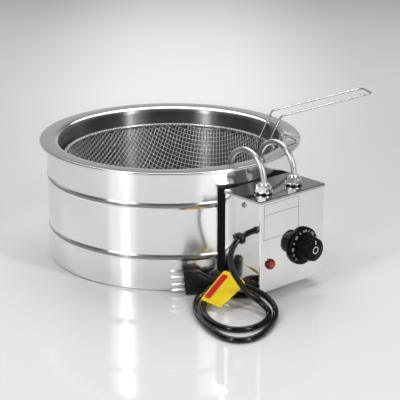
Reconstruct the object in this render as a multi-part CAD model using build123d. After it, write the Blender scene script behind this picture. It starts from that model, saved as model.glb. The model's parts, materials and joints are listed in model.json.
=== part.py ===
"""Electric deep fryer: a double-walled drum with a hung oil pot, a lift-out wire basket,
a side control box and one heating element that arches over the rim.

Millimetres, +Z up. The origin is the middle of the drum's foot, on the table.
The control box is on the -Y side.
"""
import os
from math import cos, hypot, pi, radians, sin, sqrt, tan

from build123d import *

# Sheet metal and general fits
sheet = 1.0
fit_gap = 0.1
run_gap = 0.3
weld_gap = 0.05
screw_sides = 10

# Pot and drum
pot_r = 161.0
pot_floor = 30.0
pot_shoulder_r = 9.0
pot_corner_r = 18.0
rim_top = 173.0
rim_lip = 3.6
rim_over = 10.5
wall_space = 18.5
drum_foot_lap = 8.0
drum_top_lap = 5.0
drum_edge = 3.0
bead_heights = (49.0, 123.0)
bead_tall = 9.0
bead_crest = 3.6
bead_proud = 1.0
base_plate_thick = 1.2

# Control box
box_half = 61.0
box_deep = 69.0
box_gap = 3.5
box_low = 16.0
box_drop = 27.0
box_round = 2.0
lid_skirt = 3.6
lid_edge = 0.8
lid_tab_wide = 22.0
lid_tab_deep = 18.0
lid_screw_back = 38.0
lid_screw_drop = 11.5
spacer_rise = 11.0
mount_x = 14.0
mount_rises = (48.0, 92.0)
mount_d = 5.0
mount_tail = 6.5

# Heating element
element_d = 8.0
element_sides = 10
leg_xs = (-29.8, 27.0)
arch_skew = 5.0
leg_front = 26.0
leg_wall_gap = 4.0
arch_rise = 24.0
element_end_drop = 18.0
loop_rise = 15.0
loop_bend_r = 22.0
loop_reach = 96.0
loop_lead = 53.0
loop_wide_y = 34.0
loop_far_y = 92.0
loop_far_x = 48.0
loop_round_r = 36.0
bushing_d = 14.0
bushing_below = 12.0
bushing_above = 14.0
bushing_edge = 0.8
seal_d = 22.0
seal_thick = 2.0
washer_d = 24.0
washer_thick = 1.5
nut_flat = 19.0
nut_tall = 8.0
nut_edge = 1.2
stud_d = 4.0
stud_long = 18.0
stud_collar_d = 7.0
stud_collar_long = 3.0

# Basket
ring_space = 7.0
ring_drop = 25.5
ring_wire = 3.5
wire_sides = 8
basket_flat_gap = 3.25
basket_corner_r = 26.0
basket_skin = 1.2
basket_clear = 11.0
basket_taper = 15.0
basket_base_r = 20.0
mesh_pitch = 17.5
mesh_bar = 3.0
mesh_columns = 24
mesh_rows = 3
handle_turn = 69.0
handle_wide = 34.0
handle_wire = 3.2
handle_tail = 20.0
handle_bend_out = 8.6
handle_bend_rise = 17.2
handle_end_out = 129.0
handle_end_rise = 39.0
handle_low_r = 6.0
handle_high_r = 8.0
handle_corner_r = 5.0
hook_turn = 37.5
hook_wire = 3.0
hook_tail = 14.0
hook_bend_out = 2.4
hook_bend_rise = 12.0
hook_tip_in = 5.0
hook_bend_r = 6.0

# Thermostat, knob and pilot lamp
knob_in = 42.5
knob_rise = 50.3
knob_skirt_d = 53.0
knob_skirt_proud = 5.2
knob_skirt_gap = 0.6
knob_edge = 0.8
knob_back_d = 46.0
knob_back_deep = 3.0
knob_root_d = 37.0
knob_cap_d = 31.6
knob_cap_edge = 1.2
knob_proud = 26.5
knob_grip_count = 18
knob_grip_d = 2.4
shaft_d = 6.0
shaft_flat = 1.0
shaft_tip_proud = 20.0
shaft_inside = 11.0
can_d = 44.0
can_long = 28.0
can_plate_wide = 40.0
can_plate_tall = 22.0
can_plate_thick = 1.5
can_bush_d = 9.6
can_bush_proud = 2.0
can_screw_x = 14.0
can_screw_d = 4.0
screw_bite = 4.0
blade_wide = 6.3
blade_thick = 0.8
blade_long = 9.0
blade_rise = 9.0
bulb_d = 6.0
bulb_rise = 32.0
bulb_long = 76.0
capillary_d = 2.4
capillary_rise = 21.0
capillary_bend_r = 8.0
capillary_slow_r = 12.0
capillary_end_r = 6.0
clip_inset = 16.0
clip_wide = 8.0
clip_thick = 0.8
clip_long = 16.0
lamp_in = 19.1
lamp_rise = 38.4
lamp_d = 14.6
lamp_proud = 5.5
lamp_rim = 1.6
lamp_draft = 1.2
lamp_dome_r = 3.5
lamp_hole_d = 10.0
lamp_neck_long = 6.0
lamp_body_long = 18.0
lamp_clip_d = 16.0
lamp_clip_thick = 1.2

# Wiring inside the box
block_in = 34.0
block_back = 20.0
block_pitch = 12.0
block_deep = 18.0
block_tall = 14.0
block_slot = 1.6
block_screw_d = 3.0
block_screw_head = 5.0
block_screw_long = 5.0
block_screw_y = 5.0
core_d = 2.6
core_gap = 0.26
core_reach = 5.0
core_fall = 20.0
core_spread = 14.0
lead_slack = 8.0
lead_drop = 12.0
lamp_pin = 2.0
lamp_lead = 3.0
stud_join = 6.0
stud_reach = 7.0
earth_in = 29.0
earth_back = 17.0
earth_d = 4.0
earth_long = 14.0

# Mains cord, its grommet and collar, plug and tag
cord_d = 8.0
cord_sides = 8
cord_lift = 0.05
cord_bend_share = 0.45
relief_flange_d = 10.2
relief_inner_thick = 2.2
relief_neck_d = 8.6
relief_tip_d = 9.2
tie_at = 27.0
tie_wide = 7.0
tie_d = 16.4
tie_edge = 1.4
tie_head = 6.0
plug_tall = 33.0
plug_thick = 17.0
plug_round = 7.0
plug_neck_d = 12.0
plug_neck_round = 5.4
plug_boot_long = 10.0
plug_taper_long = 12.6
plug_long = 43.6
boot_lap = 0.8
pin_d = 4.5
pin_edge = 1.2
pin_long = 19.0
pin_reach = 9.5
pin_offset = 3.0
tag_long = 53.0
tag_wide = 42.0
tag_thick = 0.6
tag_round = 4.0
tag_tilt = 35.0
tag_strap_wide = 9.0
tag_strap_gap = 0.9

# Cord and tag laid on the table, measured from the box's front left foot
lie_z = cord_d / 2 + cord_lift
tag_z = lie_z + tag_strap_gap + tag_thick
tag_corner = (-60.5, 50.2, 9.8)
cord_lay = [
    (-2, 8, 105), (-14.5, 8, 104.6), (-27, 8, 101.5), (-38, 8, 95.7), (-45.3, 7.7, 86.2), (-47.5, 7, 73.6),
    (-45, 5.5, 60.5), (-38.5, 3, 47.2), (-30.8, -1, 34), (-23.5, -7, 23.5), (-17.5, -15, 16.5),
    (-14.5, -24, 11.5), (-16, -34, 7.6), (-23, -42.5, 5.2), (-34, -49.5, lie_z), (-47, -54.3, lie_z),
    (-60.5, -56, lie_z), (-73.9, -54, lie_z), (-85, -47, lie_z), (-92, -35.5, lie_z), (-94, -19, lie_z),
    (-90.7, -0.5, lie_z), (-82.7, 17.5, lie_z), (-71.5, 33.5, 4.8), (-57.5, 45.5, tag_z), (-41.5, 52, 4.8),
    (-25.5, 52.7, lie_z), (-12, 47, lie_z), (-2, 37.5, lie_z), (7.5, 27, lie_z), (19.5, 21, lie_z),
    (32.5, 23.5, lie_z), (41, 33.5, lie_z), (42, 46.5, lie_z), (35.5, 58, lie_z), (23.5, 64, lie_z),
    (9, 65, lie_z), (-5.5, 64.5, 4.4), (-20, 64, 6), (-34.5, 64.8, 8), (-48.5, 64.2, 8.3), (-61.5, 58, 6.3),
    (-73.5, 47, 4.5), (-84.7, 32.5, lie_z), (-94.7, 15, lie_z), (-103.7, -5.5, lie_z), (-110.2, -26.7, lie_z),
    (-113.8, -46, lie_z), (-112.5, -62, lie_z), (-105, -74, lie_z), (-91.5, -80, lie_z), (-73, -78.8, lie_z),
    (-51.8, -70.5, lie_z), (-30, -58.5, lie_z), (-14.5, -47, 6.5), (-5.5, -35, 11.5), (-3.5, -21, 17.5),
    (-5, -6.5, 22), (-5.5, 8.5, 24.3), (-5, 25, 24), (-4.7, 41, 23), (-4.8, 52, 22), (-8.7, 61.7, 21),
    (-15.6, 67.8, 20.24),
]

# Places that follow from the sizes above
drum_r = pot_r + wall_space
drum_in_r = drum_r - sheet
drum_top = rim_top - sheet
rim_r = drum_r + rim_over
pot_out_r = pot_r + sheet
box_back = -drum_r - box_gap
box_front = box_back - box_deep
box_high = rim_top - box_drop
box_mid_y = (box_front + box_back) / 2
lid_under = box_high - sheet
wall_in = box_half - sheet
back_in = box_back - sheet
floor_in = box_low + sheet
nut_seat = box_high + seal_thick + washer_thick
leg_out_y = box_front + leg_front
leg_in_y = -(pot_r - leg_wall_gap - element_d / 2)
arch_top = rim_top + arch_rise
element_end = box_high - element_end_drop
loop_z = pot_floor + loop_rise
ring_r = pot_r - ring_space
ring_z = rim_top - ring_drop
ring_top = ring_z + ring_wire / 2
basket_flat_y = -leg_in_y - element_d / 2 - ring_wire / 2 - basket_flat_gap
basket_floor = loop_z + element_d / 2 + basket_clear
knob_x = box_half - knob_in
knob_z = box_low + knob_rise
lamp_x = lamp_in - box_half
lamp_z = box_low + lamp_rise
block_x = block_in - box_half
block_y = box_back - block_back
earth_x = box_half - earth_in
earth_y = box_back - earth_back
route = [Vector(x - box_half, y + box_front, z) for x, y, z in cord_lay]


def turned(profile):
    """A solid of revolution from a (radius, height) profile."""
    return revolve(Plane.XZ * profile, Axis.Z)


def along_y(x, y, z):
    """A place whose local Z points to -Y, out of the front panel."""
    return Plane(origin=(x, y, z), x_dir=(1, 0, 0), z_dir=(0, -1, 0))


def peg(place, d, start, end):
    """A round bar on the local Z axis of a place, from start to end."""
    return place * Pos(0, 0, (start + end) / 2) * Cylinder(d / 2, abs(end - start))


def bent_bar(points, bends, section):
    """A bar of one section along straight runs joined by arcs."""
    path = FilletPolyline(*points, radius=bends)
    return sweep(Plane(origin=path @ 0, z_dir=path % 0) * section, path=path)


def mitred_wire(points):
    """A thin insulated wire with square-cut bends."""
    path = Polyline(*points)
    section = Plane(origin=path @ 0, z_dir=path % 0) * RegularPolygon(core_d / 2, 6)
    return sweep(section, path=path, transition=Transition.RIGHT)


def hex_nut(flat, tall, bore):
    """A hexagon nut standing on Z=0, chamfered on its upper side."""
    nut = extrude(RegularPolygon(flat / 2, 6, major_radius=False), tall)
    nut = chamfer(nut.edges().group_by(Axis.Z)[-1], nut_edge * flat / nut_flat)
    return nut - Cylinder(bore / 2, 3 * tall)


def pan_screw(d, long, head_d, head_tall):
    """A cross-slotted screw: its head stands on Z=0 and its shank runs down."""
    head = extrude(RegularPolygon(head_d / 2, screw_sides), head_tall, taper=20)
    slot = Box(head_d / 2, d / 5, head_tall) + Box(d / 5, head_d / 2, head_tall)
    shank = extrude(RegularPolygon(d / 2, screw_sides), -long)
    return head - Pos(0, 0, head_tall) * slot + shank


# Drum: one rolled sheet with two stiffening beads and laps turned in at foot and top
def drum_face(grow):
    """The drum's outer half profile, filled in to the axis."""
    drum_foot = base_plate_thick
    outline = [(0, drum_foot), (drum_r - drum_edge, drum_foot), (drum_r, drum_foot + drum_edge)]
    for z in bead_heights:
        outline += [(drum_r, z - bead_tall / 2), (drum_r + bead_proud, z - bead_crest / 2)]
        outline += [(drum_r + bead_proud, z + bead_crest / 2), (drum_r, z + bead_tall / 2)]
    outline += [(drum_r, drum_top - drum_edge), (drum_r - drum_edge, drum_top), (0, drum_top)]
    body = make_face(Polyline(*outline, close=True))
    if grow:
        body = offset(body, grow, kind=Kind.INTERSECTION)
    return body & Pos(rim_r, 0) * Rectangle(2 * rim_r, 4 * rim_top)


pieces = {}
drum_skin = drum_face(0) - drum_face(-sheet)
foot_bore = drum_r - drum_foot_lap
top_bore = drum_r - drum_top_lap
drum_skin -= Pos(foot_bore / 2, drum_top / 2) * Rectangle(foot_bore, 2 * drum_top)
drum_skin -= Pos(top_bore / 2, drum_top) * Rectangle(top_bore, drum_top)
drum = turned(drum_skin)
pieces["drum_base_plate"] = Pos(0, 0, base_plate_thick / 2) * Cylinder(drum_r - drum_edge, base_plate_thick)

# Pot: spun from one sheet, with a wide flat rim that rests on the drum
pot_lip = Line((rim_r, rim_top - rim_lip), (rim_r, rim_top))
pot_wall = FilletPolyline(
    (rim_r, rim_top), (pot_r, rim_top), (pot_r, pot_floor), (0, pot_floor),
    radius=[pot_shoulder_r, pot_corner_r])
pieces["fryer_pot"] = turned(make_face(offset(pot_lip + pot_wall, sheet, side=Side.LEFT)))

# Control box: folded body, capped by a lid with a short skirt and two screw tabs
box_body = Pos(0, box_mid_y, (box_low + lid_under) / 2) * Box(2 * box_half, box_deep, lid_under - box_low)
box_body = fillet(box_body.edges().filter_by(Axis.Z), box_round)
box_body -= Pos(0, box_mid_y, (floor_in + box_high) / 2) * Box(
    2 * wall_in, box_deep - 2 * sheet, box_high - floor_in)
front = along_y(knob_x, box_front, knob_z)
lamp_place = along_y(lamp_x, box_front, lamp_z)
screw_places = [front * Pos(side * can_screw_x, 0, 0) for side in (-1, 1)]
box_body -= peg(front, can_bush_d + 2 * fit_gap, -2 * sheet, 2 * sheet)
for place in screw_places:
    box_body -= peg(place, can_screw_d + 2 * fit_gap, -2 * sheet, 2 * sheet)
box_body -= peg(lamp_place, lamp_hole_d, -2 * sheet, 2 * sheet)

mount_places = [along_y(side * mount_x, back_in, box_low + rise) for side in (-1, 1) for rise in mount_rises]
capillary_z = box_low + capillary_rise
wall_cuts = [peg(place, mount_d + 2 * fit_gap, -wall_space, 2 * sheet) for place in mount_places]
wall_cuts.append(peg(along_y(0, box_back, capillary_z), capillary_d + 2 * run_gap, -wall_space, 2 * sheet))
for cut in wall_cuts:
    box_body -= cut
    drum -= cut
pieces["outer_drum"] = drum

relief_place = Plane(origin=(-box_half, route[0].Y, route[0].Z), x_dir=(0, 1, 0), z_dir=(-1, 0, 0))
box_body -= peg(relief_place, relief_neck_d + 2 * fit_gap, -2 * sheet, 2 * sheet)
lid_screw_y = box_back - lid_screw_back
lid_screw_z = box_high - lid_screw_drop
lid_sides = [
    Plane(origin=(side * box_half, lid_screw_y, lid_screw_z), x_dir=(0, 1, 0), z_dir=(side, 0, 0))
    for side in (-1, 1)]
for place in lid_sides:
    box_body -= peg(place, can_screw_d + 2 * fit_gap, -2 * sheet, 2 * sheet)
pieces["control_box_body"] = box_body

skirt_half = box_half + fit_gap + sheet
skirt_front = box_front - fit_gap - sheet
lid = Pos(0, (skirt_front + box_back) / 2, box_high - lid_skirt / 2) * Box(
    2 * skirt_half, box_back - skirt_front, lid_skirt)
lid = fillet(lid.edges().filter_by(Axis.Z).group_by(Axis.Y)[0], box_round)
lid = chamfer(lid.faces().sort_by(Axis.Z)[-1].edges().group_by(Axis.Y)[0], lid_edge)
lid -= Pos(0, (box_front - fit_gap + box_back) / 2, lid_under - lid_skirt / 2) * Box(
    2 * (box_half + fit_gap), box_back - box_front + fit_gap, lid_skirt)
for place in lid_sides:
    tab_x = place.z_dir.X * (wall_in - fit_gap - sheet / 2)
    lid += Pos(tab_x, lid_screw_y, lid_under - lid_tab_deep / 2) * Box(sheet, lid_tab_wide, lid_tab_deep)
    lid -= peg(place, can_screw_d, -4 * sheet, 0)
for x in leg_xs:
    lid -= Pos(x, leg_out_y, lid_under) * Cylinder(bushing_d / 2 + fit_gap, 3 * sheet)
pieces["control_box_lid"] = lid
lid_screw = pan_screw(can_screw_d - fit_gap, screw_bite, 1.9 * can_screw_d, 0.6 * can_screw_d)
pieces["lid_screws"] = Compound([place * lid_screw for place in lid_sides])

# Spacer between the flat box and the round drum, with grooves for the beads
spacer_low = box_low + spacer_rise
spacer_y = -sqrt(drum_r ** 2 - box_half ** 2)
spacer = Pos(0, (box_back + spacer_y) / 2, (spacer_low + box_high) / 2) * Box(
    2 * box_half, spacer_y - box_back, box_high - spacer_low)
spacer -= turned(drum_face(fit_gap))
for cut in wall_cuts:
    spacer -= cut
pieces["mounting_spacer"] = spacer
mount_seat_y = -sqrt(drum_in_r ** 2 - (mount_x + mount_d) ** 2)
mount_screw = pan_screw(mount_d, mount_seat_y - back_in + mount_tail, 1.9 * mount_d, 0.8 * mount_d)
mount_nut = hex_nut(1.6 * mount_d, 0.8 * mount_d, mount_d + fit_gap)
pieces["mounting_screws"] = Compound([place * mount_screw for place in mount_places])
pieces["mounting_nuts"] = Compound([
    place * Pos(0, 0, back_in - mount_seat_y) * Rot(180, 0, 0) * mount_nut for place in mount_places])

# Heating element: one tube, up out of the lid, over the rim, round the pot floor and back
arch_r = (leg_in_y - leg_out_y) / 2 - weld_gap
left, right = leg_xs
left_in, right_in = left + arch_skew, right + arch_skew
loop_start_y = leg_in_y + loop_lead
element_points = [
    (left, leg_out_y, element_end), (left, leg_out_y, arch_top), (left_in, leg_in_y, arch_top),
    (left_in, leg_in_y, loop_z), (left_in, loop_start_y, loop_z), (-loop_reach, -loop_wide_y, loop_z),
    (-loop_reach, loop_wide_y, loop_z), (-loop_far_x, loop_far_y, loop_z), (loop_far_x, loop_far_y, loop_z),
    (loop_reach, loop_wide_y, loop_z), (loop_reach, -loop_wide_y, loop_z), (right_in, loop_start_y, loop_z),
    (right_in, leg_in_y, loop_z), (right_in, leg_in_y, arch_top), (right, leg_out_y, arch_top),
    (right, leg_out_y, element_end)]
element_bends = [arch_r, arch_r, loop_bend_r] + [loop_round_r] * 8 + [loop_bend_r, arch_r, arch_r]
tube_face = RegularPolygon(element_d / 2, element_sides)
pieces["heating_element"] = bent_bar(element_points, element_bends, tube_face)

leg_feet = [Pos(x, leg_out_y, 0) for x in leg_xs]
tube_bore = element_d + 2 * weld_gap
bushing_long = bushing_below + bushing_above
bushing = Pos(0, 0, box_high + bushing_above - bushing_long / 2) * Cylinder(bushing_d / 2, bushing_long)
bushing = chamfer(bushing.edges().group_by(Axis.Z)[-1], bushing_edge) - Cylinder(tube_bore / 2, 3 * box_high)
collar_bore = bushing_d + fit_gap
seal = Pos(0, 0, box_high + seal_thick / 2) * (
    Cylinder(seal_d / 2, seal_thick) - Cylinder(collar_bore / 2, 2 * seal_thick))
washer = Pos(0, 0, nut_seat - washer_thick / 2) * (
    Cylinder(washer_d / 2, washer_thick) - Cylinder(collar_bore / 2, 2 * washer_thick))
top_nut = Pos(0, 0, nut_seat) * hex_nut(nut_flat, nut_tall, collar_bore)
lock_nut = Pos(0, 0, lid_under) * Rot(180, 0, 0) * hex_nut(nut_flat, nut_tall, collar_bore)
stud = Pos(0, 0, element_end - stud_long / 2) * Cylinder(stud_d / 2, stud_long)
stud += Pos(0, 0, element_end - stud_collar_long / 2) * Cylinder(stud_collar_d / 2, stud_collar_long)
fittings = {
    "element_bushings": bushing, "element_seals": seal, "element_washers": washer,
    "element_nuts": top_nut, "element_locknuts": lock_nut, "element_terminals": stud}
for name, fitting in fittings.items():
    pieces[name] = Compound([foot * fitting for foot in leg_feet])


# Basket: a tapered pan with one flat side that clears the element, under a wire ring
def basket_face(grow):
    """The basket's outline at its ring, with its flat side toward the box."""
    face = Circle(ring_r + grow) - Pos(0, -basket_flat_y - grow - ring_r) * Rectangle(4 * ring_r, 2 * ring_r)
    return fillet(face.vertices(), basket_corner_r + grow)


bowl_top = ring_z - ring_wire / 2 - weld_gap


def bowl_block(grow, floor, base_round):
    """A filled bowl that narrows downward."""
    top = Pos(0, 0, bowl_top) * basket_face(grow)
    block = extrude(top, bowl_top - floor, dir=(0, 0, -1), taper=basket_taper)
    return fillet(block.faces().sort_by(Axis.Z)[0].edges(), base_round)


bowl = bowl_block(basket_skin / 2, basket_floor, basket_base_r)
bowl -= bowl_block(-basket_skin / 2, basket_floor + basket_skin, basket_base_r - basket_skin)

# The mesh, as a plain grid of openings in the bowl's floor and wall
wall_slope = tan(radians(basket_taper))
floor_r = basket_flat_y - (bowl_top - basket_floor) * wall_slope
floor_r -= basket_base_r * tan(radians(45 - basket_taper / 2))
floor_steps = range(-int(floor_r / mesh_pitch), int(floor_r / mesh_pitch))
floor_spots = [((i + 0.5) * mesh_pitch, (j + 0.5) * mesh_pitch) for i in floor_steps for j in floor_steps]
hole = mesh_pitch - mesh_bar
openings = [
    Pos(x, y, basket_floor) * Box(hole, hole, 4 * basket_skin) for x, y in floor_spots
    if hypot(abs(x) + hole / 2, abs(y) + hole / 2) < floor_r]
wall_low = basket_floor + basket_base_r
row_pitch = (bowl_top - mesh_bar - wall_low) / mesh_rows
for row in range(mesh_rows):
    row_z = wall_low + (row + 0.5) * row_pitch
    row_r = basket_flat_y - (bowl_top - row_z) * wall_slope
    opening = Box(2 * basket_base_r, 2 * pi * row_r / mesh_columns - mesh_bar, row_pitch - mesh_bar)
    openings += [
        Rot(0, 0, (step + 0.5) * 360 / mesh_columns - 90) * Pos(row_r + ring_wire, 0, row_z) * opening
        for step in range(mesh_columns)]
bowl -= openings
pieces["basket_bowl"] = bowl
ring_path = Pos(0, 0, ring_z) * basket_face(0).wire()
ring_face = Plane(origin=ring_path @ 0, z_dir=ring_path % 0) * RegularPolygon(ring_wire / 2, wire_sides)
pieces["basket_rim_ring"] = sweep(ring_face, path=ring_path)


def basket_point(turn, r, across, z):
    """A point at a turn about the drum's axis from -Y toward +X, moved sideways."""
    return (r * sin(turn) + across * cos(turn), -r * cos(turn) + across * sin(turn), z)


turn = radians(handle_turn)
half = handle_wide / 2
handle_in = sqrt((ring_r - ring_wire / 2) ** 2 - half ** 2) - handle_wire / 2 - weld_gap
side_rz = [
    (handle_in - handle_tail * wall_slope - weld_gap, ring_z - handle_tail), (handle_in, ring_top),
    (pot_r + handle_bend_out, rim_top + handle_bend_rise),
    (rim_r + handle_end_out, rim_top + handle_end_rise)]
handle_points = [basket_point(turn, r, -half, z) for r, z in side_rz]
handle_points += [basket_point(turn, r, half, z) for r, z in reversed(side_rz)]
handle_bends = [handle_low_r, handle_high_r, handle_corner_r, handle_corner_r, handle_high_r, handle_low_r]
pieces["basket_handle"] = bent_bar(handle_points, handle_bends, RegularPolygon(handle_wire / 2, wire_sides))

turn = radians(hook_turn)
hook_in = ring_r - ring_wire / 2 - hook_wire / 2 - weld_gap
hook_rz = [
    (hook_in - hook_tail * wall_slope - weld_gap, ring_z - hook_tail), (hook_in, ring_top),
    (pot_r + hook_bend_out, rim_top + hook_bend_rise),
    (rim_r - hook_tip_in, rim_top + hook_wire / 2 + run_gap)]
hook_points = [basket_point(turn, r, 0, z) for r, z in hook_rz]
pieces["basket_hook"] = bent_bar(hook_points, hook_bend_r, RegularPolygon(hook_wire / 2, wire_sides))

# Thermostat behind the panel, its turning shaft and the knob
can_front = -sheet - can_plate_thick
blade_back = can_front - can_long
can = peg(front, can_d, blade_back, can_front)
can += front * Pos(0, 0, -sheet - can_plate_thick / 2) * Box(can_plate_wide, can_plate_tall, can_plate_thick)
can += peg(front, can_bush_d, can_front, can_bush_proud)
can -= peg(front, shaft_d + 2 * run_gap, -shaft_inside - run_gap, can_bush_proud)
can_screw = pan_screw(can_screw_d - fit_gap, screw_bite - can_front, 1.7 * can_screw_d, 0.5 * can_screw_d)
for place in screw_places:
    can -= peg(place, can_screw_d, can_front - screw_bite - run_gap, 0)
blade_y = box_front - blade_back + blade_long
blade_xs = (knob_x - can_screw_x / 2, knob_x + can_screw_x / 2)
for x in blade_xs:
    can += front * Pos(x - knob_x, blade_rise, blade_back - blade_long / 2 + weld_gap) * Box(
        blade_thick, blade_wide, blade_long + 2 * weld_gap)
pieces["thermostat_body"] = can
pieces["thermostat_screws"] = Compound([place * can_screw for place in screw_places])
shaft = peg(front, shaft_d, -shaft_inside, shaft_tip_proud)
flat_long = shaft_tip_proud - knob_skirt_proud
flat_mid = (shaft_tip_proud + knob_skirt_proud) / 2
shaft -= front * Pos(0, shaft_d - shaft_flat, flat_mid) * Box(shaft_d, shaft_d, flat_long)
pieces["thermostat_shaft"] = shaft

skirt_r = knob_skirt_d / 2
knob_line = Polyline(
    (0, knob_skirt_gap), (skirt_r, knob_skirt_gap), (skirt_r - knob_edge / 2, knob_skirt_proud - knob_edge),
    (skirt_r - 2 * knob_edge, knob_skirt_proud), (knob_root_d / 2, knob_skirt_proud),
    (knob_cap_d / 2, knob_proud - knob_cap_edge), (knob_cap_d / 2 - knob_cap_edge, knob_proud),
    (0, knob_proud), close=True)
knob = front * turned(make_face(knob_line))
knob -= peg(front, knob_back_d, 0, knob_skirt_gap + knob_back_deep)
bore = Circle(shaft_d / 2 + weld_gap) & Pos(0, -shaft_flat / 2) * Rectangle(
    2 * shaft_d, shaft_d - shaft_flat + 2 * weld_gap)
knob -= front * Pos(0, 0, knob_skirt_proud) * extrude(bore, shaft_tip_proud + run_gap - knob_skirt_proud)
knob -= peg(front, shaft_d + 2 * weld_gap, 0, knob_skirt_proud)
groove_top = Vector(knob_cap_d / 2 + knob_grip_d / 4, 0, knob_proud)
groove_foot = Vector(knob_root_d / 2 + knob_grip_d / 4, 0, knob_skirt_proud + knob_grip_d)
groove_line = Line(groove_foot, groove_top)
groove_face = Plane(origin=groove_foot, z_dir=groove_line % 0) * RegularPolygon(knob_grip_d / 2, 6)
groove = sweep(groove_face, path=groove_line)
for step in range(knob_grip_count):
    knob -= front * Rot(0, 0, step * 360 / knob_grip_count) * groove
pieces["control_knob"] = knob

# Temperature sensor: a bulb clipped to the pot, on a fine tube from the thermostat
bulb_low = pot_floor + bulb_rise
bulb_y = -(pot_out_r + clip_thick + bulb_d / 2 + weld_gap)
bulb = Pos(0, bulb_y, bulb_low + bulb_long / 2) * Cylinder(bulb_d / 2, bulb_long)
capillary_points = [
    (0, bulb_y, bulb_low + sheet), (0, bulb_y, capillary_z), (0, block_y, capillary_z),
    (knob_x, blade_y, capillary_z + bulb_d), (knob_x, blade_y, knob_z),
    (knob_x, blade_y - blade_long, knob_z)]
capillary_bends = [capillary_bend_r, capillary_slow_r, capillary_bend_r, capillary_end_r]
pieces["thermostat_sensor"] = bulb + bent_bar(
    capillary_points, capillary_bends, RegularPolygon(capillary_d / 2, wire_sides))
clip_bore = bulb_d / 2 + weld_gap
clip_face = Circle(clip_bore + clip_thick) - Circle(clip_bore)
clip_face -= Pos(0, -bulb_d) * Rectangle(0.8 * bulb_d, 2 * bulb_d)
clip_z = (bulb_low + clip_inset, bulb_low + bulb_long - clip_inset)
clip_pad = Pos(0, clip_bore + clip_thick / 2) * Rectangle(clip_long, clip_thick)
clip = extrude(clip_face + clip_pad, clip_wide)
clip -= Pos(0, -bulb_y, 0) * Cylinder(pot_out_r + weld_gap, 4 * clip_wide)
pieces["sensor_clips"] = Compound([Pos(0, bulb_y, z) * clip for z in clip_z])

# Pilot lamp: a domed lens, its body and the spring ring that holds it
lens_side = Line((lamp_d / 2, 0), (lamp_d / 2, lamp_rim))
lens_dome = FilletPolyline(
    (lamp_d / 2, lamp_rim), (lamp_d / 2 - lamp_draft, lamp_proud), (0, lamp_proud), radius=lamp_dome_r)
lens_face = make_face(lens_side + lens_dome + Polyline((0, lamp_proud), (0, 0), (lamp_d / 2, 0)))
lens = lamp_place * turned(lens_face)
lens += peg(lamp_place, lamp_hole_d - 2 * fit_gap, -lamp_neck_long, 0)
pieces["pilot_lens"] = lens
lamp_end = -lamp_neck_long - lamp_body_long
pieces["pilot_body"] = peg(lamp_place, lamp_hole_d - 2 * fit_gap, lamp_end, -lamp_neck_long)
lamp_ring = peg(lamp_place, lamp_clip_d, -sheet - lamp_clip_thick, -sheet)
lamp_ring -= peg(lamp_place, lamp_hole_d, -lamp_neck_long, 0)
pieces["pilot_clip"] = lamp_ring

# Terminal block, earth stud and wires on the box floor
block_top = floor_in + block_tall
block_xs = [block_x + step * block_pitch for step in (-1, 0, 1)]
block = Pos(block_x, block_y, floor_in + block_tall / 2) * Box(3 * block_pitch, block_deep, block_tall)
for x in block_xs[:-1]:
    block -= Pos(x + block_pitch / 2, block_y, block_top) * Box(block_slot, block_deep, 0.6 * block_tall)
screw_spots = [(x, block_y + side * block_screw_y) for x in block_xs for side in (-1, 1)]
terminal_screw = pan_screw(block_screw_d, block_screw_long, block_screw_head, 0.6 * block_screw_d)
for x, y in screw_spots:
    block -= Pos(x, y, block_top) * Cylinder(block_screw_d / 2 + fit_gap, 2 * (block_screw_long + run_gap))
pieces["terminal_block"] = block
pieces["terminal_screws"] = Compound([Pos(x, y, block_top) * terminal_screw for x, y in screw_spots])
pieces["earth_stud"] = Pos(earth_x, earth_y, floor_in + earth_long / 2) * Cylinder(earth_d / 2, earth_long)
earth_nut = hex_nut(1.75 * earth_d, 0.8 * earth_d, earth_d + fit_gap)
pieces["earth_nut"] = Pos(earth_x, earth_y, floor_in) * earth_nut

wire_z = floor_in + block_tall / 2
wire_front = block_y - block_deep / 2
wire_back = block_y + block_deep / 2
rise_y = wire_back + 2.5 * core_d
stud_foot = element_end - stud_long
stud_side = stud_d / 2 + weld_gap
blade_z = knob_z + blade_rise
lamp_back_y = box_front - lamp_end
lamp_turn_y = lamp_back_y + lamp_lead
join_z = stud_foot + stud_join
lead_runs = [
    [(block_xs[0], wire_back, wire_z), (block_xs[0], rise_y, wire_z), (block_xs[0], rise_y, blade_z),
     (blade_xs[0], rise_y, blade_z), (blade_xs[0], blade_y, blade_z)],
    [(blade_xs[1], blade_y, blade_z), (blade_xs[1], rise_y - core_d, blade_z),
     (right, rise_y - core_d, blade_z + lead_slack), (right, leg_out_y, stud_foot - lead_slack),
     (right, leg_out_y, stud_foot)],
    [(block_xs[1], wire_back, wire_z), (block_xs[1], rise_y, wire_z),
     (block_xs[1], rise_y, stud_foot - lead_drop), (left, leg_out_y, stud_foot - lead_slack),
     (left, leg_out_y, stud_foot)],
    [(block_xs[2], wire_back, wire_z), (block_xs[2], rise_y, wire_z), (earth_x - lead_drop, rise_y, wire_z),
     (earth_x - lead_slack, earth_y, wire_z), (earth_x - earth_d / 2 - weld_gap, earth_y, wire_z)],
    [(lamp_x - lamp_pin, lamp_back_y, lamp_z), (lamp_x - lamp_pin, lamp_turn_y, lamp_z),
     (lamp_x - lamp_pin, lamp_turn_y, join_z), (left - stud_reach, leg_out_y, join_z),
     (left - stud_side, leg_out_y, join_z)],
    [(lamp_x + lamp_pin, lamp_back_y, lamp_z), (lamp_x + lamp_pin, lamp_turn_y, lamp_z),
     (block_xs[0] + block_pitch / 3, lamp_turn_y, wire_z),
     (block_xs[0] + block_pitch / 3, wire_front, wire_z)]]
pieces["internal_leads"] = Compound([mitred_wire(run) for run in lead_runs])

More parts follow.
